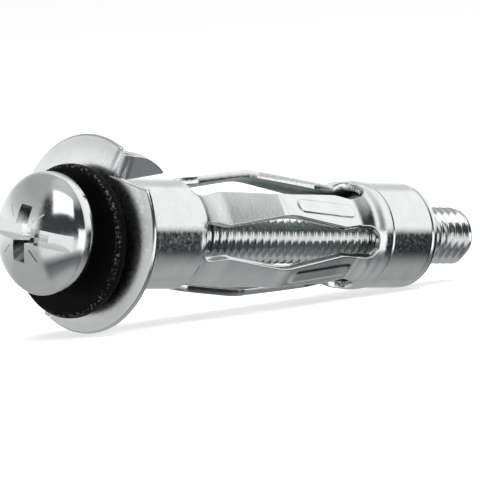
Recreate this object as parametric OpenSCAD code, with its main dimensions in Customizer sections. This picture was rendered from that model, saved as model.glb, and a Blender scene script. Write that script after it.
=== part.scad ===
// Hollow-wall expansion anchor for an M6 screw.
// The axis runs along +Y, from the screw head to the screw tip, and +Z is up.
// The origin is on the axis, in the plane of the flange's rear face, which seats on the wall board.

/* [Sleeve] */
// Outside diameter of both collars
collar_d = 10.9; // [10.2:0.1:12]
// Thickness of the drawn sheet in the collars and legs
wall_t = 0.8; // [0.6:0.05:1]
// Length of the plain front collar behind the flange
front_collar_l = 10.6; // [6:0.2:20]
// Length of the plain rear collar, from the end of the windows to the crimped end
rear_collar_l = 8.9; // [7:0.1:12]

/* [Flange] */
// Outside diameter of the flange
flange_d = 19.4; // [17.4:0.1:24]
// Thickness of the flange
flange_t = 1; // [0.8:0.05:1.3]
// Radius of the rounded mouth between the flange and the bore
mouth_r = 1.6; // [1:0.1:2]

/* [Claws] */
// Distance from the axis to the inner end of each claw's cut
claw_root_r = 6.7; // [6.5:0.1:7.2]
// Angle of that inner end round the axis, from the top towards +X
claw_at = 34; // [0:1:90]
// Turn of the fold line away from the radius
claw_skew = 8.5; // [5:0.5:20]
// Angle between the fold line and the cut edge of the notch
claw_cut = 82; // [60:1:90]
// Angle through which each claw is bent back
claw_bend = 85; // [70:1:90]
// Straight length of each claw behind its bend
claw_l = 4.2; // [2:0.1:4.8]

/* [Legs] */
// Number of legs round the cage
leg_n = 5; // [4:1:5]
// Length of the windows between the legs
window_l = 24.9; // [20:0.1:32]
// Distance from the front end of the windows to the knees
knee_at = 11.3; // [9:0.1:12]
// Height of each knee above the collar's outside
knee_lift = 1.05; // [0.4:0.05:1.6]
// Depth to which the rear leg roots dip below the collar's outside
root_dip = 0.25; // [0.1:0.05:0.35]
// Width of each window at its front end
window_front_w = 3.8; // [3.2:0.1:4]
// Width of each window's front neck
front_neck_w = 3.3; // [2.8:0.1:3.8]
// Width of each window at the knees
window_knee_w = 5.6; // [4.4:0.1:5.8]
// Width of each window's rear neck
rear_neck_w = 2.9; // [2.6:0.1:3.3]
// Width of each window's round rear end
window_rear_w = 3.2; // [2.8:0.1:3.6]
// Width of the stiffening rib on the rear half of each leg
rib_w = 1.3; // [0.8:0.1:1.5]
// Height of the stiffening rib
rib_h = 0.25; // [0.1:0.05:0.35]
// Angle of the first leg round the axis, from the top towards +X
leg_at = 62; // [0:1:72]

/* [Nut] */
// Length of the threaded nut
nut_l = 6; // [5:0.1:6.5]
// Radial clearance between the nut and the collar round it
nut_clear = 0.02; // [0.01:0.01:0.05]

/* [Screw] */
// Outside diameter of the thread
screw_d = 5.9; // [5.7:0.05:5.98]
// Length of the screw under its head
screw_l = 57.2; // [54:0.2:70]
// Diameter of the pan head
head_d = 12; // [11:0.1:13]
// Height of the pan head
head_h = 4.45; // [4:0.05:5]
// Height of the straight side of the head
head_side = 1.35; // [0.8:0.05:2]
// Gap between the flange's front face and the underside of the head
head_gap = 3.76; // [2:0.02:5]
// Width of the driving slot
slot_w = 1.6; // [1.2:0.1:1.8]
// Depth of the driving slot
slot_depth = 2.5; // [1.5:0.1:2.6]
// Radius of the cross recess at its wing tips
cross_r = 3; // [2.5:0.1:3.4]
// Width of the cross recess's wings
wing_w = 1.25; // [1:0.05:1.5]
// Depth of the cross recess
cross_depth = 3.1; // [2.6:0.1:3.3]
// Angle of the slot from the horizontal
slot_at = 12; // [0:1:90]

/* [Washer] */
// Outside diameter of the washer
washer_d = 15; // [13:0.1:18]
// Diameter of the washer's hole
washer_hole_d = 7.4; // [6.4:0.1:8]
// Thickness of the washer
washer_t = 1.4; // [1:0.1:1.6]
// Radius of the washer's rounded edges
washer_edge = 0.4; // [0.2:0.05:0.48]
// Gap between the washer and the flange's front face
washer_gap = 0.85; // [0.3:0.05:2]

/* [Hidden] */
$fn = 96;

collar_r = collar_d / 2;            // outside of both collars
bore_r = collar_r - wall_t;         // inside of both collars
leg_step = 360 / leg_n;             // angle from leg to leg
leg_from = front_collar_l;          // front end of the windows
leg_to = leg_from + window_l;       // rear end of the windows
knee = leg_from + knee_at;          // plane of the knees
rear_end = leg_to + rear_collar_l;  // crimped end of the sleeve
root_r = collar_r - root_dip;       // outside of the rear leg roots

knee_r = collar_r + knee_lift;      // outside of the knees
leg_in = 0.35;                      // start of the legs' slope, ahead of the windows
rear_root = leg_to - window_rear_w / 2;  // where the windows' round ends begin
rear_crease = rear_root - 0.4;      // crease at the legs' rear roots
rib_from = knee + 1.6;              // front end of the rib
rib_to = rear_root - 1.5;           // rear end of the rib

flange_edge = 0.3 * flange_t;       // rounding of the flange's rim
collar_fillet = 0.4;                // rounding behind the flange
bead_l = 2.1;                       // length of the shallow bead behind the windows
bead_h = 0.08;                      // height of that bead
bead_to = leg_to - 0.3 + bead_l;
crimp_r = 0.9;                      // outside rounding of the crimped end
lip_r = bore_r - 0.7;               // opening left in the crimped end
fold_t = 0.9 * flange_t;            // thickness of the bent claws
fold_in = 0.4;                      // inside radius of the claws' bend
fold_sink = 0.04;                   // depth of each claw's bend under the flange's rear face
claw_from = (fold_in + fold_t) / tan(claw_cut) + 0.06;  // start of each claw, clear of the notch's cut edge
fold_root = 0.3;                    // depth to which each claw's sheet runs on into the flange's
neck_in = 3.4;                      // distance from a window's front end to its neck
corner_r = 0.9;                     // rounding of a window's front corners
knee_in = 0.75;                     // half-length of the rounding at a knee

nut_r = bore_r - nut_clear;
nut_to = rear_end - wall_t;         // the nut seats on the inside of the crimped lip
thread_clear = 0.05;                // radial running clearance between screw and nut
nut_bore_r = screw_d / 2 + thread_clear;
chamfer = 0.6;

head_from = -flange_t - head_gap;   // underside of the head
tip = head_from + screw_l;          // free end of the screw
washer_drop = (washer_hole_d - screw_d) / 2 - 0.03;  // the washer hangs on the screw
reach = 2 * flange_d;               // longer than any cut needs
eps = 0.01;

// Points of an arc, from angle a to angle b
function arc(x, y, r, a, b, n = 6) =
    [for (i = [0:n]) [x + r * cos(a + (b - a) * i / n), y + r * sin(a + (b - a) * i / n)]];

// Points of a smooth step from p to q, level at both ends
function ease(p, q, n = 6) =
    [for (i = [0:n]) [p.x + (q.x - p.x) * i / n, p.y + (q.y - p.y) * (1 - cos(180 * i / n)) / 2]];

// Points of a curve from p to q that leans towards c
function bow(p, c, q, n = 6) =
    [for (i = [0:n]) let (u = i / n) (1 - u) * (1 - u) * p + 2 * u * (1 - u) * c + u * u * q];

// Lays what is built along local Z, with local X to the side, on the anchor's axis
module on_axis() rotate([-90, 0, 0]) children();

// Turns what is built along local X to an angle round the axis, from the top towards +X
module at_angle(a) rotate([0, 0, a - 90]) children();

// Outline of the drawn tube from the front end of the windows to the crimped end,
// raised by h over the ribs' length
function outside() = concat(
    [[collar_r, leg_from - leg_in]],
    bow([knee_r - knee_lift * knee_in / knee_at, knee - knee_in], [knee_r, knee],
        [knee_r - (knee_r - root_r) * knee_in / (rear_crease - knee), knee + knee_in], 7),
    bow([root_r, rear_crease], [root_r + 0.05, leg_to - 0.8], [collar_r, leg_to - 0.3], 4),
    [for (i = [1:5]) [collar_r + bead_h * sin(180 * i / 6), leg_to - 0.3 + bead_l * i / 6]],
    [[collar_r, bead_to]]
);

// Flange, rounded mouth, collars, legs not yet parted, and crimped lip,
// as radius and distance along the axis
module shell() {
    rim = flange_d / 2;
    rotate_extrude() polygon(concat(
        arc(rim - flange_edge, flange_edge - flange_t, flange_edge, 270, 360, 4),
        arc(rim - flange_edge, -flange_edge, flange_edge, 0, 90, 4),
        arc(collar_r + collar_fillet, collar_fillet, collar_fillet, 270, 180, 4),
        outside(),
        arc(collar_r - crimp_r, rear_end - crimp_r, crimp_r, 0, 90),
        [[lip_r, rear_end], [lip_r, nut_to], [bore_r, nut_to], [bore_r, leg_to],
            [root_r - wall_t, rear_crease], [knee_r - wall_t, knee], [bore_r, leg_from - leg_in]],
        arc(bore_r + mouth_r, mouth_r - flange_t, mouth_r, 180, 270)
    ));
}

// Plan outline of one window, as a prism that points outwards
module window() {
    end_r = window_rear_w / 2;
    side = concat(
        arc(leg_from + corner_r, window_front_w / 2 - corner_r, corner_r, 180, 90, 5),
        ease([leg_from + 1.5, window_front_w / 2], [leg_from + neck_in, front_neck_w / 2], 6),
        bow([knee - 1.2, window_knee_w / 2 - 0.12 * (window_knee_w - front_neck_w) / 2],
            [knee, window_knee_w / 2],
            [knee + 1.2, window_knee_w / 2 - 0.12 * (window_knee_w - rear_neck_w) / 2], 5),
        ease([rear_root - 3.4, rear_neck_w / 2], [rear_root - 0.6, end_r], 6),
        arc(rear_root, 0, end_r, 90, 0, 8)
    );
    other = [for (i = [len(side) - 2:-1:0]) [side[i].x, -side[i].y]];
    translate([bore_r - wall_t, 0, 0]) rotate([0, 90, 0])
        linear_extrude(collar_d) polygon([for (p = concat(side, other)) [-p.x, p.y]]);
}

// Strip with round ends, w wide, as a prism that points outwards
module rib_plan(w) {
    from = rib_from + rib_w / 2;
    to = rib_to - rib_w / 2;
    translate([0, -w / 2, from]) cube([collar_d, w, to - from]);
    for (end = [from, to]) translate([0, 0, end]) rotate([0, 90, 0]) cylinder(d = w, h = collar_d);
}

// Slice of the rear halves of the legs, from out mm inside the outside surface to h mm above it
module rear_slice(out, h) {
    top = function(y) knee_r - (knee_r - root_r) * (y - knee) / (rear_crease - knee);
    rotate_extrude() polygon([
        [top(rib_from - 1) - out, rib_from - 1], [top(rib_from - 1) + h, rib_from - 1],
        [top(rib_to + 1) + h, rib_to + 1], [top(rib_to + 1) - out, rib_to + 1]
    ]);
}

// Moves to the inner end of a claw's cut, with local X along the fold line,
// local Y towards the notch and local Z along the axis
module at_fold() {
    at_angle(claw_at) translate([claw_root_r, 0, 0]) rotate([0, 0, -claw_skew]) children();
}

// Length of the fold line from the cut's inner end to the rim
fold_l = sqrt(pow(flange_d / 2 - 1.4 * flange_edge, 2) - pow(claw_root_r * sin(claw_skew), 2))
    - claw_root_r * cos(claw_skew);

module notch() {
    at_fold() translate([0, 0, -2 * flange_t]) linear_extrude(3 * flange_t)
        polygon([[0, 0], [reach, 0], [reach, reach], reach * [cos(claw_cut), sin(claw_cut)]]);
}

// One claw: a bend along the fold line, which runs on into the flange, and a pointed tooth behind it
module claw() {
    tooth = concat(
        [[claw_from, -eps], [fold_l, -eps]],
        bow([fold_l, 0.2], [fold_l, 0.6 * claw_l], [0.55 * fold_l, claw_l - 0.1], 8),
        [[0.45 * fold_l, claw_l]]
    );
    inset = fold_t / 8;
    at_fold() translate([claw_from + inset, -fold_root, inset - fold_sink - fold_t])
        cube([fold_l - claw_from - 2 * inset, fold_root + inset / 2, fold_t - 2 * inset]);
    at_fold() translate([0, 0, fold_in - fold_sink]) rotate([0, 90, 0]) {
        rotate_extrude(angle = claw_bend) translate([fold_in, claw_from]) square([fold_t, fold_l - claw_from]);
        rotate([0, 0, claw_bend]) translate([fold_in, 0, 0]) rotate([90, 0, 90]) linear_extrude(fold_t)
            polygon([for (p = tooth) [p.y, p.x]]);
    }
}

module anchor_sleeve() {
    color("gainsboro") on_axis() {
        difference() {
            union() {
                shell();
                intersection() {
                    rear_slice(0.2, rib_h);
                    union() for (i = [0:leg_n - 1]) at_angle(leg_at + i * leg_step) rib_plan(rib_w);
                }
            }
            for (i = [0:leg_n - 1]) at_angle(leg_at + (i + 0.5) * leg_step) window();
            intersection() {
                rear_slice(wall_t + 1, rib_h - wall_t);
                union() for (i = [0:leg_n - 1]) at_angle(leg_at + i * leg_step) rib_plan(rib_w - 0.4);
            }
            for (half = [0, 180]) rotate([0, 0, half]) notch();
        }
        for (half = [0, 180]) rotate([0, 0, half]) claw();
    }
}

module threaded_nut() {
    color("silver") on_axis() rotate_extrude() polygon([
        [nut_bore_r + chamfer, nut_to - nut_l], [nut_r - chamfer, nut_to - nut_l],
        [nut_r, nut_to - nut_l + chamfer], [nut_r, nut_to],
        [nut_bore_r + chamfer, nut_to], [nut_bore_r, nut_to - chamfer],
        [nut_bore_r, nut_to - nut_l + chamfer]
    ]);
}

// Half profile of the head's dome: a curve a little fuller than a cone and flatter than a ball
function dome(n = 14) = let (k = 1.7) [for (i = [0:n]) let (a = 90 * i / n)
    [head_d / 2 * pow(cos(a), 2 / k), head_from - head_side - (head_h - head_side) * pow(sin(a), 2 / k)]];

module recess() {
    top = head_from - head_h;
    rotate([0, 0, slot_at]) {
        translate([-head_d, -slot_w / 2, top - 1]) cube([2 * head_d, slot_w, slot_depth + 1]);
        intersection() {
            translate([0, 0, top]) cylinder(r1 = cross_r, r2 = 0.45 * cross_r, h = cross_depth);
            for (turn = [0, 90]) rotate([0, 0, turn])
                translate([-cross_r - 1, -wing_w / 2, top - 1]) cube([2 * cross_r + 2, wing_w, cross_depth + 2]);
        }
    }
}

module screw() {
    color("whitesmoke") on_axis() difference() {
        rotate_extrude() polygon(concat(
            [[0, tip], [screw_d / 2 - chamfer, tip], [screw_d / 2, tip - chamfer], [screw_d / 2, head_from]],
            [[head_d / 2, head_from]],
            dome()
        ));
        recess();
    }
}

module washer() {
    mid = -flange_t - washer_gap - washer_t / 2;
    color("dimgray") translate([0, 0, -washer_drop]) on_axis() translate([0, 0, mid]) rotate_extrude()
        polygon(concat(
            arc(washer_d / 2 - washer_edge, washer_t / 2 - washer_edge, washer_edge, 0, 90, 4),
            arc(washer_hole_d / 2 + washer_edge / 2, washer_t / 2 - washer_edge / 2, washer_edge / 2, 90, 180, 4),
            arc(washer_hole_d / 2 + washer_edge / 2, washer_edge / 2 - washer_t / 2, washer_edge / 2, 180, 270, 4),
            arc(washer_d / 2 - washer_edge, washer_edge - washer_t / 2, washer_edge, 270, 360, 4)
        ));
}

anchor_sleeve();
threaded_nut();
screw();
washer();
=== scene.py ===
import bpy
import math
import numpy as np
from mathutils import Matrix, Vector


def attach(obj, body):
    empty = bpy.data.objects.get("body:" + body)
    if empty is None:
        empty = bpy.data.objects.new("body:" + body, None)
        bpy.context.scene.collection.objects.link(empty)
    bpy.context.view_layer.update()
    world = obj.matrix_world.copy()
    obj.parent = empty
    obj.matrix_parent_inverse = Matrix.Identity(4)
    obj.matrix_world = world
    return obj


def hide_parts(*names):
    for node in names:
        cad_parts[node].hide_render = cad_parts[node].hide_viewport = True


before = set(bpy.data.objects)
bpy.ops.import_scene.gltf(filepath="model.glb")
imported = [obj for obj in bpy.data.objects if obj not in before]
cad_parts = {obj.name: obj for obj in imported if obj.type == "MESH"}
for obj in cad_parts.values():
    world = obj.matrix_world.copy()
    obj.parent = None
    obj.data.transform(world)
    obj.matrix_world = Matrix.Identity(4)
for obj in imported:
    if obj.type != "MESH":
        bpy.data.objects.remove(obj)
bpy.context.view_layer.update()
mm = 0.001
print("frame loaded")

# The sleeve's axis is +Y and angles run from +Z towards +X. All sizes below are in millimetres.


def around(radius, along, angle):
    # a point from its radius, its distance along the axis and its angle in degrees:
    # x = r sin a, y = along, z = r cos a
    a = np.radians(angle)
    radius, along, a = np.broadcast_arrays(radius, along, a)
    return np.stack([radius * np.sin(a), along, radius * np.cos(a)], axis=-1)


def smooth(u):
    # 3u^2 - 2u^3 between 0 and 1, flat outside
    u = np.clip(u, 0.0, 1.0)
    return u * u * (3.0 - 2.0 * u)


def gridQuads(rows, cols, closed=False, first=0):
    # corner indices of the cells of a rows x cols grid of points, wrapped round when closed
    i, j = np.meshgrid(np.arange(rows - 1), np.arange(cols if closed else cols - 1), indexing="ij")
    k = (j + 1) % cols
    cells = np.stack([i * cols + j, i * cols + k, (i + 1) * cols + k, (i + 1) * cols + j], -1)
    return first + cells.reshape(-1, 4)


def weld(points, quads):
    # points that share a place to a tenth of a micron become one; also gives which points were kept
    place = np.round(points * 1e4).astype(np.int64)
    keep, back = np.unique(place, axis=0, return_index=True, return_inverse=True)[1:]
    return points[keep], back.reshape(-1)[quads], keep


def addMesh(name, points, faces, *materials):
    # faces are blocks of corner indices; a corner that repeats its neighbour is left out of its face
    mesh = bpy.data.meshes.new(name)
    rows = []
    for block in faces:
        distinct = block != np.roll(block, 1, axis=1)
        full = distinct.all(axis=1)
        rows += block[full].tolist()
        rows += [row[keep].tolist() for row, keep in zip(block[~full], distinct[~full]) if keep.sum() > 2]
    mesh.from_pydata((points * mm).tolist(), [], rows)
    for material in materials:
        mesh.materials.append(material)
    mesh.validate()
    mesh.shade_smooth()
    piece = bpy.data.objects.new(name, mesh)
    bpy.context.scene.collection.objects.link(piece)
    return piece


def pointNormals(points, quads):
    # sum of the cells' area normals at each point, made unit length
    a, b, c, d = (points[quads[:, k]] for k in range(4))
    cell = np.cross(c - a, d - b)
    total = np.zeros_like(points)
    for corner in quads.T:
        np.add.at(total, corner, cell)
    return total / np.maximum(np.linalg.norm(total, axis=1, keepdims=True), 1e-12)


def sheetSolid(outer, quads, thickness, edge, steps):
    # a sheet of the given thickness under the outer surface, with its free edges rounded:
    # inner = outer - n t, and each rim runs outer + m e sin f - n e (1 - cos f), where n is the normal
    # and m the way out of the sheet at its edge
    n = pointNormals(outer, quads)
    inner = outer - n * thickness[:, None]
    count = len(outer)
    sides = np.concatenate([quads[:, [0, 1]], quads[:, [1, 2]], quads[:, [2, 3]], quads[:, [3, 0]]])
    sides = sides[sides[:, 0] != sides[:, 1]]
    there, backAgain = sides[:, 0] * count + sides[:, 1], sides[:, 1] * count + sides[:, 0]
    free = sides[~np.isin(there, backAgain)]
    run = outer[free[:, 1]] - outer[free[:, 0]]
    run /= np.maximum(np.linalg.norm(run, axis=1, keepdims=True), 1e-12)
    out = np.zeros_like(outer)
    for k in (0, 1):
        np.add.at(out, free[:, k], np.cross(run, n[free[:, k]]))
    rim = np.unique(free)
    out = out[rim] / np.maximum(np.linalg.norm(out[rim], axis=1, keepdims=True), 1e-12)
    e = np.minimum(edge[rim], 0.45 * thickness[rim])[:, None]
    turn = np.radians(90.0 * np.arange(1, steps + 1) / steps)
    rings = [outer[rim] + out * e * math.sin(f) - n[rim] * e * (1 - math.cos(f)) for f in turn]
    rings += [inner[rim] + out * e * math.sin(f) + n[rim] * e * (1 - math.cos(f)) for f in turn[::-1]]
    place = np.zeros(count, np.int64)
    place[rim] = np.arange(len(rim))
    levels = [free] + [2 * count + k * len(rim) + place[free] for k in range(2 * steps)] + [free + count]
    strips = [np.stack([upper[:, 1], upper[:, 0], lower[:, 0], lower[:, 1]], 1)
              for upper, lower in zip(levels[:-1], levels[1:])]
    points = np.concatenate([outer, inner] + rings)
    return points, [quads, quads[:, ::-1] + count] + strips


def revolve(profile, cols):
    # a profile of (radius, along) rows turned once round the axis
    angles = 360.0 * np.arange(cols) / cols
    return around(profile[:, :1], profile[:, 1:], angles[None, :]).reshape(-1, 3)


def arcPoints(x, y, radius, start, end, count):
    # a circle's arc about (x, y) between two angles: x + r cos f, y + r sin f
    f = np.radians(np.linspace(start, end, count))
    return np.stack([x + radius * np.cos(f), y + radius * np.sin(f)], 1)


def baseFinish(name, color, metallic=1.0, roughness=0.25):
    material = bpy.data.materials.new(name)
    material.use_nodes = True
    nodes, links = material.node_tree.nodes, material.node_tree.links
    shader = nodes["Principled BSDF"]
    shader.inputs["Base Color"].default_value = (*color, 1)
    shader.inputs["Metallic"].default_value = metallic
    shader.inputs["Roughness"].default_value = roughness
    return material, nodes, links, shader


def objectNoise(nodes, links, scale, detail):
    # a 0..1 noise fixed to the piece, its scale in cells a metre
    place = nodes.new("ShaderNodeTexCoord")
    noise = nodes.new("ShaderNodeTexNoise")
    noise.inputs["Scale"].default_value = scale
    noise.inputs["Detail"].default_value = detail
    links.new(place.outputs["Object"], noise.inputs["Vector"])
    return noise.outputs["Fac"]


def spread(nodes, links, source, low, high, start=0.3, end=0.7):
    # start..end becomes low..high
    ramp = nodes.new("ShaderNodeMapRange")
    ramp.inputs["From Min"].default_value = start
    ramp.inputs["From Max"].default_value = end
    ramp.inputs["To Min"].default_value = low
    ramp.inputs["To Max"].default_value = high
    links.new(source, ramp.inputs["Value"])
    return ramp.outputs["Result"]


def mixColors(nodes, links, share, first, second):
    mix = nodes.new("ShaderNodeMixRGB")
    for socket, color in (("Color1", first), ("Color2", second)):
        mix.inputs[socket].default_value = (*color, 1)
    links.new(share, mix.inputs["Fac"])
    return mix.outputs["Color"]


def roughen(nodes, links, height, strength, depth, under=None):
    # a bump of the given depth in millimetres, on top of another one
    bump = nodes.new("ShaderNodeBump")
    bump.inputs["Strength"].default_value = strength
    bump.inputs["Distance"].default_value = depth * mm
    links.new(height, bump.inputs["Height"])
    if under:
        links.new(under, bump.inputs["Normal"])
    return bump.outputs["Normal"]


def zincFinish(name, color, shade, roughness, mottle, dents, grit, metallic=1.0):
    # bright zinc: fine crystals change the gloss, broad dents bend the reflections, and the colour
    # drifts a little; dents and grit are depths in millimetres
    material, nodes, links, shader = baseFinish(name, color, metallic)
    crystals = objectNoise(nodes, links, 3000, 2)
    clouds = objectNoise(nodes, links, 420, 3)
    drift = spread(nodes, links, clouds, 0, 1, 0.35, 0.75)
    links.new(mixColors(nodes, links, drift, color, shade), shader.inputs["Base Color"])
    links.new(spread(nodes, links, crystals, roughness, roughness + mottle), shader.inputs["Roughness"])
    fine = roughen(nodes, links, crystals, 0.3, grit)
    links.new(roughen(nodes, links, clouds, 0.5, dents, fine), shader.inputs["Normal"])
    return material


zincSheet = zincFinish("zincSheet", (0.85, 0.86, 0.86), (0.76, 0.79, 0.79),
                       roughness=0.09, mottle=0.12, dents=0.016, grit=0.018)
zincScrew = zincFinish("zincScrew", (0.86, 0.87, 0.87), (0.78, 0.81, 0.80),
                       roughness=0.09, mottle=0.08, dents=0.01, grit=0.004)
# a satin copy of the zinc for the flange's front faces: the satin gloss is a finish, its lighter colour is
# painted light
flangeSatinPaintedLight = zincFinish("flangeSatinPaintedLight", (0.97, 0.98, 0.98), (0.9, 0.92, 0.92),
                        roughness=0.26, mottle=0.1, dents=0.016, grit=0.012)
# painted shade: a darker, teal copy of the zinc for the faces inside the tube and for the nut hidden within
# it
paintedShadeZinc = zincFinish("paintedShadeZinc", (0.40, 0.48, 0.46), (0.30, 0.38, 0.36),
                        roughness=0.26, mottle=0.16, dents=0.03, grit=0.01)
# painted shade: a teal, half-metal copy of the zinc, given to the tools that cut the cross's wings and the
# ticks, standing in for the recess's shaded teal look
recessPaintedShade = zincFinish("recessPaintedShade", (0.40, 0.68, 0.66), (0.24, 0.46, 0.46),
                        roughness=0.42, mottle=0.2, dents=0.06, grit=0.02, metallic=0.35)


def rubberFinish(name, color, dustAndSheenColor):
    # matt black rubber, with a pale speckle set by a point attribute: dust, and a painted highlight along the
    # rim's front edge
    material, nodes, links, shader = baseFinish(name, color, 0.0, 0.5)
    shader.inputs["Specular IOR Level"].default_value = 0.06
    grain = objectNoise(nodes, links, 5200, 3)
    links.new(spread(nodes, links, grain, 0.42, 0.56), shader.inputs["Roughness"])
    links.new(roughen(nodes, links, grain, 0.25, 0.02), shader.inputs["Normal"])
    dustAndSheenBand = nodes.new("ShaderNodeAttribute")
    dustAndSheenBand.attribute_name = "dustAndSheenBand"
    dustAndSheen = nodes.new("ShaderNodeMath")
    dustAndSheen.operation = "MULTIPLY"
    links.new(dustAndSheenBand.outputs["Fac"], dustAndSheen.inputs[0])
    links.new(spread(nodes, links, objectNoise(nodes, links, 4200, 4), 0, 1, 0.52, 0.66), dustAndSheen.inputs[1])
    links.new(mixColors(nodes, links, dustAndSheen.outputs["Value"], color, dustAndSheenColor), shader.inputs["Base Color"])
    return material


# its second colour is the pale speckle of dust and painted highlight on the rim's front edge
blackRubber = rubberFinish("blackRubber", (0.002, 0.002, 0.0022), (0.12, 0.125, 0.125))
print("finishes made")


sleeve = {
    "collar": 5.45, "wall": 0.8, "flange": 9.7, "flangeT": 1.0, "fillet": 0.55, "rearEnd": 44.4,
    "legs": 5, "legAt": 62.0, "legFrom": 10.6, "legTo": 35.5, "rearRoot": 33.9, "crease": 32.9, "rootR": 5.08,
    "knee": 21.9, "kneeR": 6.5, "kneeRound": 0.8, "flatness": 2.2, "shoulder": 0.5,
    "windowFront": 1.9, "corner": 0.9, "frontNeck": 1.65, "neckFrom": 1.2, "neckIn": 3.4, "kneeHalf": 2.8,
    "kneeTip": 0.1, "rearNeck": 1.45, "rearNeckIn": 3.4, "rearFlare": 2.8, "windowRear": 1.6,
    "notchR": 6.7, "notchAt": 34.0, "skew": 8.5, "cut": 82.0,
    "bend": 85.0, "bendIn": 0.4, "clawT": 0.9, "clawL": 4.05, "clawFrom": 0.28, "clawTo": 2.68,
    "edge": 0.13, "rimEdge": 0.27, "frontDrop": 0.4, "frontFrom": 6.9, "frontRun": 2.5,
    "ribHalf": 0.55, "ribLift": 0.13, "ribFrom": 23.5, "ribTo": 32.4, "ribSoft": 0.3,
    "beadLift": 0.13, "beadFrom": 35.0, "beadTo": 37.2, "beadGroove": 0.05,
    "crimp": 0.9, "lip": 3.95, "creaseAt": 43.15, "creaseDepth": 0.12, "creaseStep": 0.06,
    "legCols": 24, "windowCols": 12, "satinFrom": 6.0,
}
halfStep = 180.0 / sleeve["legs"]  # half the angle from leg to leg
rimRadius = sleeve["flange"] - sleeve["rimEdge"]  # where the rim's rounding begins


def legRadius(y):
    # straight from the collar to the knee and down to the root, the knee rounded by a parabola,
    # then flared to the collar, with the bead behind the windows and the crease before the lip
    s = sleeve
    rise = (s["kneeR"] - s["collar"]) / (s["knee"] - s["legFrom"])
    fall = (s["kneeR"] - s["rootR"]) / (s["crease"] - s["knee"])
    front = s["collar"] + rise * np.maximum(y - s["legFrom"] + 0.3, 0)
    rear = s["kneeR"] - fall * (y - s["knee"])
    w = s["kneeRound"]
    u = np.clip((y - s["knee"] + w) / (2 * w), 0, 1)
    r = np.minimum(front, rear)
    blend = ((s["kneeR"] - rise * w) * (1 - u) ** 2 + 2 * u * (1 - u) * s["kneeR"]
             + (s["kneeR"] - fall * w) * u ** 2)
    r = np.where(np.abs(y - s["knee"]) < w, blend, r)
    spring = smooth((y - s["crease"]) / (s["beadFrom"] - s["crease"]))
    flare = s["rootR"] + (s["collar"] - s["rootR"]) * spring
    r = np.where(y > s["crease"], flare, r)
    bead = np.clip((y - s["beadFrom"]) / (s["beadTo"] - s["beadFrom"]), 0, 1)
    r = r + s["beadLift"] * (smooth(bead * 1.6) - smooth((bead - 0.9) / 0.1))
    dip = s["creaseDepth"] * np.exp(-((y - s["creaseAt"]) / 0.13) ** 2)
    dip = dip + s["creaseStep"] * smooth((y - s["creaseAt"]) / 0.2)
    return r - s["beadGroove"] * np.exp(-((y - s["beadTo"] - 0.12) / 0.1) ** 2) - dip


def windowHalf(y):
    # half-width of a window: rounded front corners, a neck, widest at the knees, a rear neck and a round end
    s = sleeve
    toNeck = smooth((y - s["legFrom"] - s["neckFrom"]) / (s["neckIn"] - s["neckFrom"]))
    start = s["windowFront"] + (s["frontNeck"] - s["windowFront"]) * toNeck
    kneeFrom, kneeBy = s["legFrom"] + s["neckIn"], s["rearRoot"] - s["rearNeckIn"]
    widen = s["frontNeck"] + (s["kneeHalf"] - s["frontNeck"]) * (y - kneeFrom) / (s["knee"] - kneeFrom)
    narrow = s["kneeHalf"] + (s["rearNeck"] - s["kneeHalf"]) * (y - s["knee"]) / (kneeBy - s["knee"])
    last = s["rearNeck"] + (s["windowRear"] - s["rearNeck"]) * smooth((y - kneeBy) / s["rearFlare"])
    tip = s["kneeTip"] * np.exp(-((y - s["knee"]) / 0.7) ** 2)
    half = np.where(y < kneeFrom, start, np.where(y < s["knee"], widen, np.where(y < kneeBy, narrow, last)))
    half = half - tip
    c = s["corner"]
    near = np.clip((y - s["legFrom"]) / c, 0, 1)
    half = half - c + c * np.sqrt(np.maximum(1 - (1 - near) ** 2, 0))
    far = np.clip((y - s["rearRoot"]) / s["windowRear"], 0, 1)
    return np.where(y > s["rearRoot"], s["windowRear"] * np.sqrt(np.maximum(1 - far ** 2, 0)), half)


def sleeveRows():
    # (radius, along) down the outside, from the flange's notches to the lip
    s = sleeve
    f, c = s["fillet"], s["corner"]
    ring = np.stack([np.linspace(s["notchR"], s["collar"] + f, 6)[:-1], np.zeros(5)], 1)
    fillet = arcPoints(s["collar"] + f, f, f, 270, 180, 7)
    collar = np.linspace(f, s["legFrom"] - 0.35, 24)[1:]
    corner = s["legFrom"] + c * (1 - np.cos(np.radians(np.linspace(0, 90, 9))))
    legs = np.linspace(s["legFrom"] + c, s["rearRoot"], 112)[1:]
    end = s["rearRoot"] + s["windowRear"] * np.sin(np.radians(np.linspace(0, 79, 12)))[1:]
    rear = np.concatenate([np.linspace(end[-1], s["beadTo"] - 0.26, 12)[1:],
                           np.linspace(s["beadTo"] - 0.2, s["beadTo"] + 0.4, 11),
                           np.linspace(s["beadTo"] + 0.7, s["creaseAt"] - 0.4, 12),
                           np.linspace(s["creaseAt"] - 0.3, s["rearEnd"] - s["crimp"], 12)])
    y = np.concatenate([collar, corner, legs, end, rear])
    tube = np.stack([legRadius(y), y], 1)
    collarEnd = tube[-1, 0]
    crimp = arcPoints(collarEnd - s["crimp"], s["rearEnd"] - s["crimp"], s["crimp"], 0, 90, 9)[1:]
    lip = np.stack([np.linspace(collarEnd - s["crimp"], s["lip"], 4)[1:], np.full(3, s["rearEnd"])], 1)
    return np.concatenate([ring, fillet, tube, crimp, lip])


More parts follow.
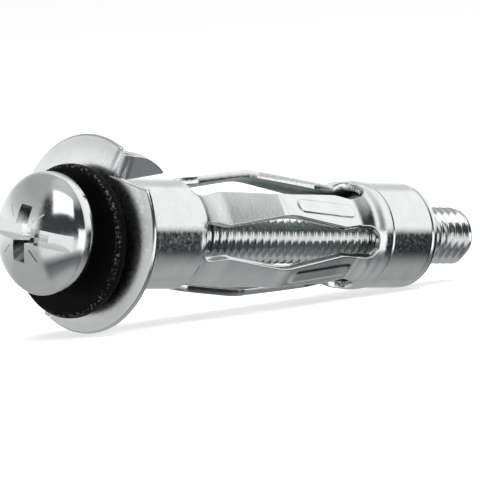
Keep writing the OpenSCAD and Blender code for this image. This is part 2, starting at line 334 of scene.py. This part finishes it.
def sleeveColumns(rows):
    # angle of every column on every row: along the legs the columns follow the windows' edges,
    # and elsewhere they run evenly; also gives the rows with windows and the legs' half-angles
    s = sleeve
    legs, gaps = s["legCols"], s["windowCols"]
    y = rows[:, 1]
    inWindow = (y >= s["legFrom"] - 1e-6) & (y <= s["legTo"] - 0.02)
    half = np.where(inWindow, windowHalf(np.clip(y, s["legFrom"], s["legTo"])) + s["edge"], 0.0)
    gap = np.degrees(np.arcsin(np.clip(half / rows[:, 0], 0, 0.9)))
    even = halfStep * gaps / (legs + gaps)
    frontGap, rearGap = gap[np.argmax(inWindow)], gap[len(gap) - 1 - np.argmax(inWindow[::-1])]
    before = even + (frontGap - even) * smooth((y - 4.0) / (s["legFrom"] - 4.0))
    after = rearGap + (even - rearGap) * smooth((y - s["legTo"]) / 4.0)
    gap = np.where(inWindow, gap, np.where(y < s["legFrom"], before, after))
    leg = (halfStep - gap)[:, None]
    cell = np.concatenate([-leg + 2 * leg * (np.arange(legs) / legs),
                           leg + 2 * gap[:, None] * (np.arange(gaps) / gaps)], 1)
    angles = np.concatenate([s["legAt"] + 2 * halfStep * k + cell for k in range(s["legs"])], 1)
    flange = evenAngles(angles.shape[1])
    turn = smooth((y - 0.3) / 6.0)[:, None]
    return flange + (angles - flange) * turn, inWindow, np.radians(leg)


def evenAngles(count):
    # even columns round the flange, one of them through the inner end of each notch
    s = sleeve
    start = s["legAt"] - halfStep * s["legCols"] / (s["legCols"] + s["windowCols"])
    shift = round((s["notchAt"] + 360 - start) / (360.0 / count))
    return s["notchAt"] + 360.0 * (np.arange(count) - shift) / count + 360.0


def ribHeight(y, across):
    # a raised strip with round ends: height falls from full to nothing over the soft edge of its outline
    s = sleeve
    middle = np.clip(y, s["ribFrom"] + s["ribHalf"], s["ribTo"] - s["ribHalf"])
    away = np.hypot(across, y - middle)
    return s["ribLift"] * smooth((s["ribHalf"] + s["ribSoft"] - away) / s["ribSoft"])


def clawGrid(rim, root, along):
    # one claw from its fold line: an arc of the bend, then a flat tooth that narrows to its tip,
    # its rows running from the low edge to the high one
    s = sleeve
    rise = np.array([0.0, 1.0, 0.0])
    side = np.cross(rise, along)
    turn = np.radians(np.linspace(0, s["bend"], 9))
    lift = s["bendIn"] * (1 - np.cos(turn))
    away = s["bendIn"] * np.sin(turn)
    share = (rim - rim[0]) / (rim[-1] - rim[0])
    bent = smooth(turn / turn[-1])
    low, high = s["clawFrom"] * bent, rim[-1] + (s["clawTo"] - rim[-1]) * bent
    arc = [root + np.outer(a + (b - a) * share, along) + l * rise + w * side
           for a, b, l, w in zip(low, high, lift, away)]
    straight = math.sin(turn[-1]) * rise + math.cos(turn[-1]) * side
    u = 1 - (1 - np.linspace(0, 1, 21)[1:]) ** 1.3
    low, high = s["clawFrom"] + 0.86 * u, s["clawTo"] - 0.1 * u - 1.36 * u ** 2.2
    tooth = [root + np.outer(a + (b - a) * share, along) + lift[-1] * rise + away[-1] * side
             + s["clawL"] * k * straight for a, b, k in zip(low, high, u)]
    return np.array(arc + tooth)


def flatLegs(radius, across, centre, halfAngle, y):
    # each leg's arc is opened out to a flatter one between the same two edges:
    # h = r cos(half) + sqrt(F^2 - t^2) - sqrt(F^2 - e^2), where F is the flatter radius, e = r sin(half)
    # and t is the place across the leg
    s = sleeve
    height = np.sqrt(np.maximum(radius ** 2 - across ** 2, 0))
    edge = radius * np.sin(halfAngle)
    flat = s["flatness"] * radius
    opened = radius * np.cos(halfAngle) + np.sqrt(flat ** 2 - across ** 2) - np.sqrt(flat ** 2 - edge ** 2)
    share = smooth((y - s["legFrom"] + 0.1) / s["shoulder"])
    share = share * smooth((s["rearRoot"] + 0.5 - y) / s["shoulder"])
    height = height + share * (opened - height)
    return np.hypot(across, height), centre + np.degrees(np.arctan2(across, height))


def tubeBlock():
    # the turned part: the flange as far as the notches, collars, legs and lip, less the windows' cells
    s = sleeve
    rows = sleeveRows()
    angles, inWindow, halfAngle = sleeveColumns(rows)
    count, cols = angles.shape
    y = rows[:, 1:]
    centre = s["legAt"] + 2 * halfStep * np.round((angles - s["legAt"]) / (2 * halfStep))
    across = rows[:, :1] * np.sin(np.radians(angles - centre))
    radius, angles = flatLegs(rows[:, :1], across, centre, halfAngle, y)
    onTube = (y > 1.0) & (y < s["rearEnd"] - s["crimp"] - 0.01)
    radius = radius + np.where(onTube, ribHeight(y, across), 0.0)
    cellRow, cellCol = np.divmod(np.arange((count - 1) * cols), cols)
    isGap = cellCol % (s["legCols"] + s["windowCols"]) >= s["legCols"]
    isOpen = isGap & inWindow[cellRow] & inWindow[cellRow + 1]
    quads = gridQuads(count, cols, closed=True)[~isOpen]
    thickness = np.repeat(np.where(rows[:, 1] < 0.02, s["flangeT"], s["wall"]), cols)
    return around(radius, y, angles).reshape(-1, 3), quads, thickness, cols


def flangeBlocks(cols):
    # outside the notches' inner ends the flange is two half rings, whose columns swing from one notch's
    # cut side round to the other notch's fold; each fold carries a claw
    s = sleeve
    start = np.radians(s["notchAt"])
    root = np.array([s["notchR"] * math.sin(start), 0, s["notchR"] * math.cos(start)])
    foldAngle = math.radians(s["notchAt"] - s["skew"])
    cutAngle = foldAngle + math.radians(s["cut"])
    share = np.linspace(0, 1, 15)

    def toRim(angle):
        # a straight line from the notch's inner end to the rim circle: its direction, how far each point
        # has come along it, and each point's angle and radius
        direction = np.array([math.sin(angle), 0, math.cos(angle)])
        b = root @ direction
        reach = -b + math.sqrt(b * b - root @ root + rimRadius * rimRadius)
        line = root + np.outer(share * reach, direction)
        turn = np.degrees(np.arctan2(line[:, 0], line[:, 2]))
        return direction, share * reach, turn[:, None], np.linalg.norm(line, axis=1)[:, None]

    fold, foldReach, foldTurn, foldR = toRim(foldAngle)
    cutTurn, cutR = toRim(cutAngle)[2:]
    part = np.linspace(0, 1, cols // 2 + 1)
    turn = cutTurn + (foldTurn + 180 - cutTurn) * part
    ring = cutR + (foldR - cutR) * part
    claw = clawGrid(foldReach, root, fold)
    blocks = []
    for half, spin in ((0, (1, 1, 1)), (180, (-1, 1, -1))):
        for grid, thickness in ((around(ring, 0.0, turn + half)[::-1], s["flangeT"]),
                                (claw * np.array(spin), s["clawT"])):
            size = grid.shape[:2]
            blocks.append((grid.reshape(-1, 3), gridQuads(*size), np.full(size[0] * size[1], thickness)))
    return blocks


def pickFinishes(skin):
    # faces of the tube that look towards the axis take a darker teal zinc, which is painted shade, and the
    # flange's front a satin zinc whose lighter colour is painted light
    s = sleeve
    middle, normal = np.zeros((2, 3 * len(skin.data.polygons)))
    skin.data.polygons.foreach_get("center", middle)
    skin.data.polygons.foreach_get("normal", normal)
    middle, normal = middle.reshape(-1, 3) / mm, normal.reshape(-1, 3)
    reach = np.hypot(middle[:, 0], middle[:, 2])
    inward = (middle[:, 0] * normal[:, 0] + middle[:, 2] * normal[:, 2]) / reach < -0.6
    inside = inward & (middle[:, 1] > 0.6) & (reach < s["kneeR"])
    front = (normal[:, 1] < -0.85) & (middle[:, 1] < 0) & (reach > s["satinFrom"])
    skin.data.polygons.foreach_set("material_index", inside.astype(np.int32) + 2 * front.astype(np.int32))


def buildSleeve():
    # the blocks' outer surfaces are welded into one, given the sheet's thickness, and their edges rounded
    s = sleeve
    *tube, cols = tubeBlock()
    blocks = [tube] + flangeBlocks(cols)
    starts = np.cumsum([0] + [len(block[0]) for block in blocks[:-1]])
    points, thickness = (np.concatenate([block[k] for block in blocks]) for k in (0, 2))
    quads = np.concatenate([block[1] + start for block, start in zip(blocks, starts)])
    points, quads, keep = weld(points, quads)
    used = np.unique(quads)
    renumber = np.full(len(points), -1)
    renumber[used] = np.arange(len(used))
    points, thickness, quads = points[used], thickness[keep][used], renumber[quads]
    # the flange's front curves back towards its rim, which is rounded more than the cut edges are
    reach = np.hypot(points[:, 0], points[:, 2])
    onFlange = points[:, 1] < 0.01
    curve = s["frontDrop"] * np.clip((reach - s["frontFrom"]) / s["frontRun"], 0, 1) ** 1.7
    thickness = np.where(onFlange, thickness - curve, thickness)
    edge = np.where(onFlange & (reach > rimRadius - 0.01), s["rimEdge"], s["edge"])
    solid, faces = sheetSolid(points, quads, thickness, edge, 4)
    skin = addMesh("sleeveSkin", solid, faces, zincSheet, paintedShadeZinc, flangeSatinPaintedLight)
    pickFinishes(skin)
    return skin


sleeveSkin = buildSleeve()
print("sleeve", len(sleeveSkin.data.polygons))


screw = {
    "major": 2.95, "minor": 2.37, "pitch": 1.0, "under": -4.76, "start": -5.2, "tip": 52.44, "chamfer": 0.6,
    "cols": 64, "phase": 0.35, "headR": 6.0, "headH": 4.45, "side": 1.35, "fullness": 1.7, "headCols": 144,
    "slotHalf": 0.8, "slotDepth": 2.1, "slotAt": 12.0,
    "wingR": 3.1, "wingHalf": 0.83, "wingDepth": 3.3, "wingDeepR": 0.42, "wingDeepHalf": 0.6,
    "tickFrom": 1.9, "tickTo": 3.3, "tickHalf": 0.07, "tickDepth": 0.36, "tickFall": 0.42, "edgeRound": 0.09,
}


def buildThread():
    # a V profile with narrow flats carried along a right-hand helix: y = pitch (a / 360) + offset
    t = screw
    minor, major = t["minor"], t["major"]
    profile = np.array([[0.0, minor], [0.10, minor + 0.02], [0.20, minor + 0.16], [0.38, major - 0.12],
                        [0.455, major - 0.02], [0.5, major], [0.545, major - 0.02], [0.62, major - 0.12],
                        [0.80, minor + 0.16], [0.90, minor + 0.02]])
    turns = int((t["tip"] - t["under"]) / t["pitch"]) + 4
    steps = turns * t["cols"] + 1
    angle = 360.0 * np.arange(steps) / t["cols"]
    y = t["under"] - 2.0 + t["phase"] + (angle[:, None] / 360.0 + profile[None, :, 0]) * t["pitch"]
    tipR = major - t["chamfer"]
    r = np.minimum(profile[None, :, 1], tipR + np.clip(t["tip"] - y, 0, 9))
    r = np.where(y >= t["tip"], tipR, np.minimum(r, minor + 3 * np.clip(y - t["start"], 0, 9)))
    y = np.clip(y, t["start"], t["tip"])
    rings = around(r, y, angle[:, None])
    # each turn's last profile point joins the next turn's first
    rows, cols = rings.shape[:2]
    last = np.arange(rows - 1 - t["cols"]) * cols + cols - 1
    after = last + (t["cols"] - 1) * cols + 1
    seam = np.stack([last, after, after + cols, last + cols], -1)
    return rings.reshape(-1, 3), np.concatenate([gridQuads(rows, cols), seam])[:, ::-1]


def buildScrew():
    # the thread with a flat cap at its tip and another inside the head
    t = screw
    threadPoints, threadQuads = buildThread()
    tipR = t["major"] - t["chamfer"]
    ends = np.array([[tipR, t["tip"]], [tipR * 0.6, t["tip"]], [0.0, t["tip"]],
                     [0.0, t["start"]], [1.2, t["start"]], [t["minor"], t["start"]]])
    points = np.concatenate([threadPoints, revolve(ends, t["cols"])])
    caps = gridQuads(3, t["cols"], True, len(threadPoints))
    quads = np.concatenate([threadQuads, caps, caps + 3 * t["cols"]])
    points, quads, _ = weld(points, quads)
    return addMesh("screwThread", points, [quads], zincScrew)


screwThread = buildScrew()


def headProfile():
    # straight side, then a dome fuller than a cone: r = R cos(f)^(2/k), rise = h sin(f)^(2/k)
    t = screw
    f = np.radians(np.linspace(0, 90, 40))
    power = 2 / t["fullness"]
    dome = np.stack([t["headR"] * np.maximum(np.cos(f), 0) ** power,
                     t["under"] - t["side"] - (t["headH"] - t["side"]) * np.sin(f) ** power], 1)
    radius, drop = t["headR"], t["under"]
    under = np.array([[0.0, drop], [t["minor"], drop], [4.5, drop], [radius - 0.25, drop],
                      [radius - 0.08, drop - 0.06], [radius, drop - 0.25], [radius, drop - 0.8]])
    return np.concatenate([under, dome])


def boxPoints(lo, hi):
    # the eight corners of a box, x outermost
    x, y, z = np.meshgrid([lo[0], hi[0]], [lo[1], hi[1]], [lo[2], hi[2]], indexing="ij")
    return np.stack([x, y, z], -1).reshape(-1, 3)


boxQuads = np.array([[0, 1, 3, 2], [4, 6, 7, 5], [0, 4, 5, 1], [2, 3, 7, 6], [0, 2, 6, 4], [1, 5, 7, 3]])


def turned(points, angle):
    # turned round the axis by an angle from +Z towards +X
    a = math.radians(angle)
    x, y, z = points.T
    return np.stack([x * math.cos(a) + z * math.sin(a), y, -x * math.sin(a) + z * math.cos(a)], 1)


def buildHead():
    # the dome with a slot, two wings of the cross and four ticks cut from its top
    t = screw
    profile = headProfile()
    points = revolve(profile, t["headCols"])
    points, quads, _ = weld(points, gridQuads(len(profile), t["headCols"], True))
    head = addMesh("screwHead", points, [quads[:, ::-1]], zincScrew)
    top = t["under"] - t["headH"]
    slot = boxPoints([-9, top - 1, -t["slotHalf"]], [9, top + t["slotDepth"], t["slotHalf"]])
    tools = [addMesh("slotTool", turned(slot, t["slotAt"]), [boxQuads], zincScrew)]
    for turn in (45, 135, 225, 315):
        tick = boxPoints([t["tickFrom"], top - 1, -t["tickHalf"]],
                         [t["tickTo"], top + t["tickDepth"], t["tickHalf"]])
        tick[(tick[:, 0] > 2) & (tick[:, 1] > top)] += (0, t["tickFall"], 0)
        tools.append(addMesh("tickTool%d" % turn, turned(tick, t["slotAt"] + turn), [boxQuads], recessPaintedShade))
    for turn in (0, 90):
        wing = boxPoints([-t["wingR"], top - 1, -t["wingHalf"]],
                         [t["wingR"], top + t["wingDepth"], t["wingHalf"]])
        deep = wing[:, 1] > top
        wing[deep] *= (t["wingDeepR"], 1, t["wingDeepHalf"])
        wing[~deep] *= (1.15, 1, 1.1)
        tools.append(addMesh("wingTool%d" % turn, turned(wing, t["slotAt"] + turn), [boxQuads], recessPaintedShade))
    for tool in tools:
        cut = head.modifiers.new(tool.name, "BOOLEAN")
        cut.operation = "DIFFERENCE"
        cut.solver = "EXACT"
        cut.object = tool
    graph = bpy.context.evaluated_depsgraph_get()
    mesh = bpy.data.meshes.new_from_object(head.evaluated_get(graph))
    head.modifiers.clear()
    head.data = mesh
    for tool in tools:
        bpy.data.objects.remove(tool)
    soften = head.modifiers.new("soften", "BEVEL")
    soften.width = t["edgeRound"] * mm
    soften.segments = 2
    soften.limit_method = "ANGLE"
    soften.angle_limit = math.radians(35)
    soften.harden_normals = True
    return head


screwHead = buildHead()
print("screw", len(screwThread.data.polygons), len(screwHead.data.polygons))


# one entry gives the width of the pale band of dust and painted highlight inside the rim's front edge
washer = {
    "outer": 7.5, "hole": 3.7, "thick": 1.4, "gap": 0.85, "drop": 0.72,
    "rimRound": 0.6, "holeRound": 0.25, "dustAndSheenBand": 0.4, "cols": 160,
}


def buildWasher():
    # a rounded section turned round its own axis: a superellipse at the rim, small rounding at the hole
    w = washer
    h = w["thick"] / 2
    mid = -sleeve["flangeT"] - w["gap"] - h
    f = np.radians(np.linspace(-90, 90, 25))
    rim = np.stack([w["outer"] - w["rimRound"] + w["rimRound"] * np.abs(np.cos(f)) ** 0.75,
                    mid + h * np.sign(np.sin(f)) * np.abs(np.sin(f)) ** 0.8], 1)
    r = w["holeRound"]
    hole = [arcPoints(w["hole"] + r, mid + h - r, r, 90, 180, 6),
            arcPoints(w["hole"] + r, mid - h + r, r, 180, 270, 6)]
    profile = np.concatenate([rim, *hole, rim[:1]])
    points = revolve(profile, w["cols"]) - np.array([0, 0, w["drop"]])
    points, quads, _ = weld(points, gridQuads(len(profile), w["cols"], True))
    ring = addMesh("washerRing", points, [quads], blackRubber)
    # the pale band of dust and painted highlight falls from one just inside the rim's front edge to nothing
    # the band's width from there
    reach = np.hypot(points[:, 0], points[:, 2] + w["drop"])
    away = np.hypot(reach - w["outer"] + 0.1, points[:, 1] - mid + h - 0.1)
    dustAndSheenLayer = ring.data.attributes.new("dustAndSheenBand", "FLOAT", "POINT")
    dustAndSheenLayer.data.foreach_set("value", np.clip(1 - away / w["dustAndSheenBand"], 0, 1))
    return ring


washerRing = buildWasher()
print("washer", len(washerRing.data.polygons))


for piece, node, body, slot in [(sleeveSkin, "anchor_sleeve", "anchor", "zinc_sleeve"),
                                (screwThread, "screw", "screw", "zinc_screw"),
                                (screwHead, "screw", "screw", "zinc_screw"),
                                (washerRing, "washer", "washer", "black_washer")]:
    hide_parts(node)
    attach(piece, body)
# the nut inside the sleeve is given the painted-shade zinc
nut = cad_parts["threaded_nut"]
nut.data.materials.clear()
nut.data.materials.append(paintedShadeZinc)
print("bodies set")


studio = {
    "floorSize": 4.0, "floorGlow": 0.62,
    "lampAt": (0.05, 0.0, 0.5), "lampTo": (0, 0.02, 0), "lampSize": 0.5, "lampPower": 5.0,
}


def buildFloor():
    # a pale floor under the flange's lowest point and the rear collar's lowest point
    s, size = sleeve, studio["floorSize"]
    tilt = math.atan2(s["flange"] - s["collar"], s["rearEnd"] - s["crimp"])
    along = np.array([0, math.cos(tilt), math.sin(tilt)])
    side = np.array([1.0, 0, 0])
    base = np.array([0, 0, -s["flange"]]) * mm
    corners = [base + size * (a * side + b * along) for a, b in ((-1, -1), (1, -1), (1, 1), (-1, 1))]
    mesh = bpy.data.meshes.new("floor")
    mesh.from_pydata(np.array(corners).tolist(), [], [(0, 1, 2, 3)])
    floor = bpy.data.objects.new("floor", mesh)
    bpy.context.scene.collection.objects.link(floor)
    material, _, _, shader = baseFinish("paleFloor", (0.5, 0.5, 0.5), 0.0, 0.9)
    shader.inputs["Emission Color"].default_value = (1, 1, 1, 1)
    shader.inputs["Emission Strength"].default_value = studio["floorGlow"]
    mesh.materials.append(material)
    floor.visible_glossy = False


buildFloor()


def buildLamp():
    # a square soft light above, which lifts the floor and the matt faces and makes no reflection
    light = bpy.data.lights.new("topLight", "AREA")
    light.shape = "RECTANGLE"
    light.size = light.size_y = studio["lampSize"]
    light.energy = studio["lampPower"]
    lamp = bpy.data.objects.new("topLight", light)
    lamp.location = studio["lampAt"]
    ray = Vector(studio["lampTo"]) - Vector(studio["lampAt"])
    lamp.rotation_mode = "QUATERNION"
    lamp.rotation_quaternion = ray.to_track_quat("-Z", "Y")
    lamp.visible_glossy = False
    bpy.context.scene.collection.objects.link(lamp)


buildLamp()


def buildWorld():
    # what the zinc reflects: four bands of light by height, near or far in X and toward the viewer or
    # beyond the tip in Y, with two soft boxes over them; the camera itself sees white
    world = bpy.data.worlds.new("studio")
    bpy.context.scene.world = world
    world.use_nodes = True
    nodes, links = world.node_tree.nodes, world.node_tree.links
    back = nodes["Background"]
    place = nodes.new("ShaderNodeTexCoord")
    split = nodes.new("ShaderNodeSeparateXYZ")
    links.new(place.outputs["Generated"], split.inputs["Vector"])
    height = nodes.new("ShaderNodeMapRange")
    height.inputs["From Min"].default_value = -1
    links.new(split.outputs["Z"], height.inputs["Value"])

    def band(stops):
        # levels of light at heights from -1 to 1, the dark ones a little blue
        rise = nodes.new("ShaderNodeValToRGB")
        ramp = rise.color_ramp
        while len(ramp.elements) < len(stops):
            ramp.elements.new(0.5)
        for element, (z, level) in zip(ramp.elements, stops):
            element.position = (z + 1) / 2
            cool = 1.0 if level > 0.2 else 1.15
            element.color = (level, level * (1 + cool) / 2, level * cool, 1)
        links.new(height.outputs["Result"], rise.inputs["Fac"])
        return rise.outputs["Color"]

    def blend(low, high, source, start, end):
        mix = nodes.new("ShaderNodeMixRGB")
        links.new(fade(source, start, end), mix.inputs["Fac"])
        links.new(low, mix.inputs["Color1"])
        links.new(high, mix.inputs["Color2"])
        return mix.outputs["Color"]

    def slab(direction, half, soft):
        # one where the ray's share of the direction is within half, falling to nothing over soft
        dot = nodes.new("ShaderNodeVectorMath")
        dot.operation = "DOT_PRODUCT"
        dot.inputs[1].default_value = direction
        links.new(place.outputs["Generated"], dot.inputs[0])
        size = nodes.new("ShaderNodeMath")
        size.operation = "ABSOLUTE"
        links.new(dot.outputs["Value"], size.inputs[0])
        return fade(size.outputs["Value"], half + soft, half)

    def fade(source, start, end):
        share = nodes.new("ShaderNodeMapRange")
        share.interpolation_type = "SMOOTHSTEP"
        share.inputs["From Min"].default_value = start
        share.inputs["From Max"].default_value = end
        links.new(source, share.inputs["Value"])
        return share.outputs["Result"]

    def softbox(room, level, turn, lift, width, tall):
        # a bright rectangle in the direction turned from -Y towards +X and lifted above the horizon
        t, e = math.radians(turn), math.radians(lift)
        across = (math.cos(t), math.sin(t), 0)
        upward = (-math.sin(t) * math.sin(e), math.cos(t) * math.sin(e), math.cos(e))
        shares = [slab(across, width, 0.06), slab(upward, tall, 0.06)]
        front = nodes.new("ShaderNodeVectorMath")
        front.operation = "DOT_PRODUCT"
        front.inputs[1].default_value = (math.sin(t) * math.cos(e), -math.cos(t) * math.cos(e), math.sin(e))
        links.new(place.outputs["Generated"], front.inputs[0])
        shares.append(fade(front.outputs["Value"], 0.2, 0.3))
        product = shares[0]
        for other in shares[1:]:
            times = nodes.new("ShaderNodeMath")
            times.operation = "MULTIPLY"
            links.new(product, times.inputs[0])
            links.new(other, times.inputs[1])
            product = times.outputs["Value"]
        mix = nodes.new("ShaderNodeMixRGB")
        mix.inputs["Color2"].default_value = (level, level, level, 1)
        links.new(product, mix.inputs["Fac"])
        links.new(room, mix.inputs["Color1"])
        return mix.outputs["Color"]

    beyondNear = band([(-1, 0.5), (-0.72, 0.42), (-0.58, 0.26), (-0.47, 0.08), (-0.38, 0.02),
                       (0.03, 0.02), (0.12, 0.7), (0.2, 1.05), (1, 1.05)])
    beyondFar = band([(-1, 0.42), (-0.35, 0.38), (-0.2, 0.7), (0, 1.0), (0.3, 1.05), (0.46, 0.68),
                      (0.62, 0.7), (0.7, 1.0), (1, 1.05)])
    viewerNear = band([(-1, 0.45), (-0.88, 0.38), (-0.78, 0.2), (-0.6, 0.1), (-0.5, 0.4), (-0.42, 0.85),
                       (-0.2, 0.8), (-0.1, 0.35), (0.0, 0.05), (0.6, 0.03), (0.74, 0.3), (0.85, 0.5),
                       (1, 0.6)])
    viewerFar = band([(-1, 0.42), (-0.36, 0.42), (-0.16, 0.62), (-0.04, 0.93), (0.2, 0.93), (0.36, 0.55),
                      (0.6, 0.4), (1, 0.42)])
    near = blend(viewerNear, beyondNear, split.outputs["Y"], 0.44, 0.68)
    far = blend(viewerFar, beyondFar, split.outputs["Y"], 0.1, 0.5)
    room = blend(far, near, split.outputs["X"], -0.36, -0.2)
    room = softbox(room, level=1.4, turn=25, lift=44, width=0.34, tall=0.27)
    room = softbox(room, level=1.2, turn=97, lift=-10, width=0.5, tall=0.24)
    seen = nodes.new("ShaderNodeLightPath")
    pick = nodes.new("ShaderNodeMixRGB")
    pick.inputs["Color2"].default_value = (1, 1, 1, 1)
    links.new(room, pick.inputs["Color1"])
    links.new(seen.outputs["Is Camera Ray"], pick.inputs["Fac"])
    links.new(pick.outputs["Color"], back.inputs["Color"])
    back.inputs["Strength"].default_value = 1.0


buildWorld()
bpy.context.scene.view_settings.view_transform = "Standard"

view = {"place": (364.41, -343.70, -0.56), "turn": 45.0, "roll": 0.25, "lens": 5163 * 36 / 480}


def buildCamera():
    # a long lens level with the axis, seen from the head's side, with its own slight roll
    data = bpy.data.cameras.new("camera")
    data.lens = view["lens"]
    data.sensor_width = 36
    data.clip_start, data.clip_end = 0.01, 50
    camera = bpy.data.objects.new("camera", data)
    a, roll = math.radians(view["turn"]), math.radians(view["roll"])
    right = Vector((math.cos(a), math.sin(a), 0))
    up = Vector((0, 0, 1))
    ahead = Vector((-math.sin(a), math.cos(a), 0))
    x = right * math.cos(roll) + up * math.sin(roll)
    y = up * math.cos(roll) - right * math.sin(roll)
    aimed = Matrix((x, y, -ahead)).transposed().to_4x4()
    camera.matrix_world = Matrix.Translation(Vector(view["place"]) * mm) @ aimed
    bpy.context.scene.collection.objects.link(camera)
    bpy.context.scene.camera = camera


buildCamera()
print("stage, light and camera set")
